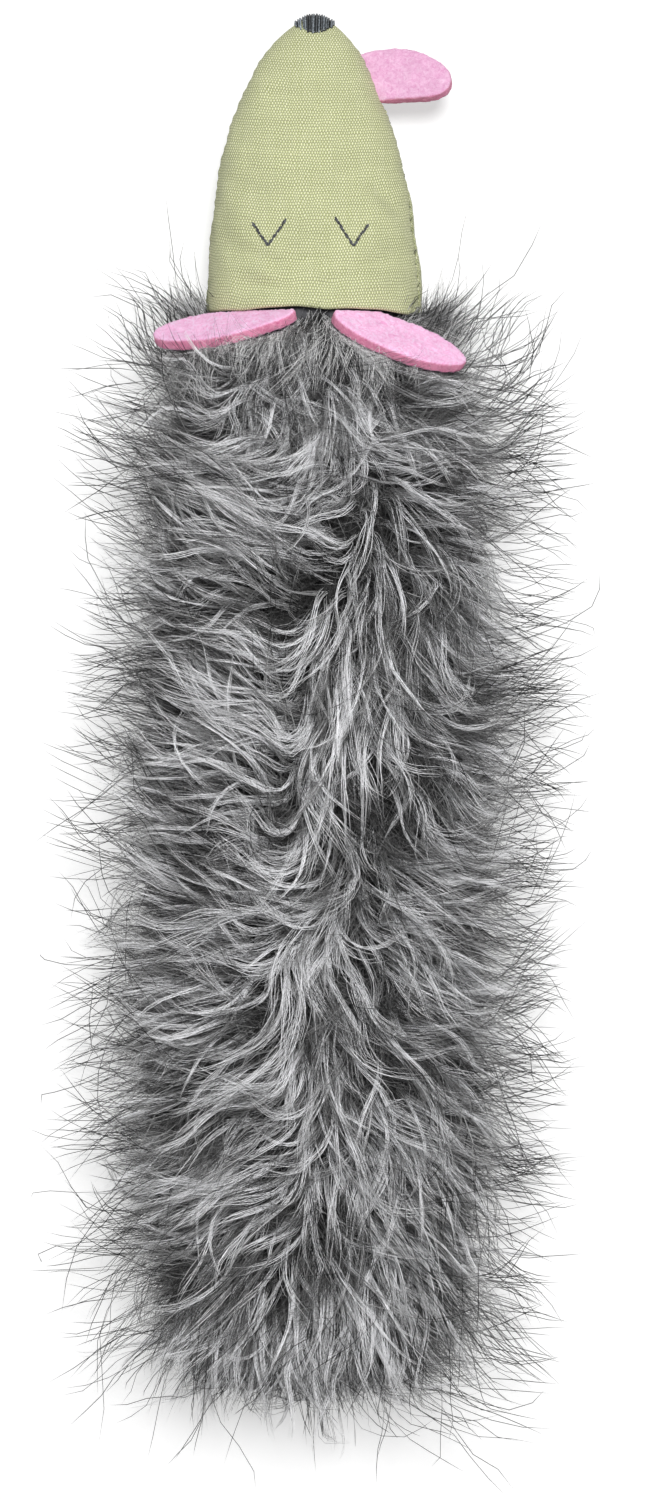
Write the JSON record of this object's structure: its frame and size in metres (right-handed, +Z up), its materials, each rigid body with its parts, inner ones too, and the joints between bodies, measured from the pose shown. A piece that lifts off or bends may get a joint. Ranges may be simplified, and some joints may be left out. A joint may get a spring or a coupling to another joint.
{
  "type": "cat kicker toy",
  "caption": "Long stuffed plush cat kicker with a canvas mouse head, felt ears, a felt tongue and a catnip pouch inside.",
  "frame": {"origin": "on the floor, under the middle of the toy lying on its belly", "axes": "+Z up, +Y from the tail to the nose, +X to the side that the tongue hangs out of"},
  "size_m": [0.114, 0.3445, 0.055],
  "materials": {
    "grey_plush": "long silver-tipped charcoal fur",
    "plush_backing": "knitted backing cloth",
    "green_canvas": "plain woven canvas",
    "pink_felt": "thick pressed felt",
    "dark_thread": "soft sheen embroidery thread",
    "green_thread": "sewing thread",
    "grey_thread": "sewing thread",
    "fibre_stuffing": "loose polyester fibre",
    "pouch_cotton": "unbleached cotton",
    "dried_herb": "crumbled dry leaf"
  },
  "bodies": {
    "plush": {"plush_top_panel": "grey_plush", "plush_belly_panel": "grey_plush", "body_stuffing": "fibre_stuffing", "left_side_seam_thread": "grey_thread", "right_side_seam_thread": "grey_thread", "tail_closing_stitch": "grey_thread", "pouch_upper_cloth": "pouch_cotton", "pouch_lower_cloth": "pouch_cotton", "catnip_filling": "dried_herb"},
    "neck": {"neck_gather": "plush_backing"},
    "head": {"head_top_panel": "green_canvas", "head_under_panel": "green_canvas", "head_stuffing": "fibre_stuffing", "left_head_seam_thread": "green_thread", "right_head_seam_thread": "green_thread", "hem_thread": "green_thread", "nose_embroidery": "dark_thread", "left_eye_embroidery": "dark_thread", "right_eye_embroidery": "dark_thread"},
    "ear_left": {"left_ear": "pink_felt"},
    "ear_right": {"right_ear": "pink_felt"},
    "tongue_flap": {"tongue": "pink_felt"}
  },
  "joints": [
    {"name": "neck_swing", "type": "hinge", "parent": "plush", "child": "neck", "pos_m": [0, 0.09635, 0.01655], "axis": [0, 0, 1], "range_deg": [-8, 8], "stiffness_Nm_per_rad": 0.05},
    {"name": "neck_nod", "type": "hinge", "parent": "neck", "child": "head", "pos_m": [0, 0.09635, 0.01655], "axis": [1, 0, 0], "range_deg": [-12, 8], "stiffness_Nm_per_rad": 0.05},
    {"name": "left_ear_flap", "type": "hinge", "parent": "head", "child": "ear_left", "pos_m": [-0.0042, 0.09605, 0.03271], "axis": [-0.9155, 0, -0.4023], "range_deg": [-15, 40], "stiffness_Nm_per_rad": 0.001},
    {"name": "right_ear_flap", "type": "hinge", "parent": "head", "child": "ear_right", "pos_m": [0.0042, 0.09605, 0.03271], "axis": [-0.9155, 0, 0.4023], "range_deg": [-8, 50], "stiffness_Nm_per_rad": 0.001},
    {"name": "tongue_flap", "type": "hinge", "parent": "head", "child": "tongue_flap", "pos_m": [0.01506, 0.15488, 0.01142], "axis": [0.3815, -0.8401, 0.3857], "range_deg": [-35, 35], "stiffness_Nm_per_rad": 0.001}
  ]
}
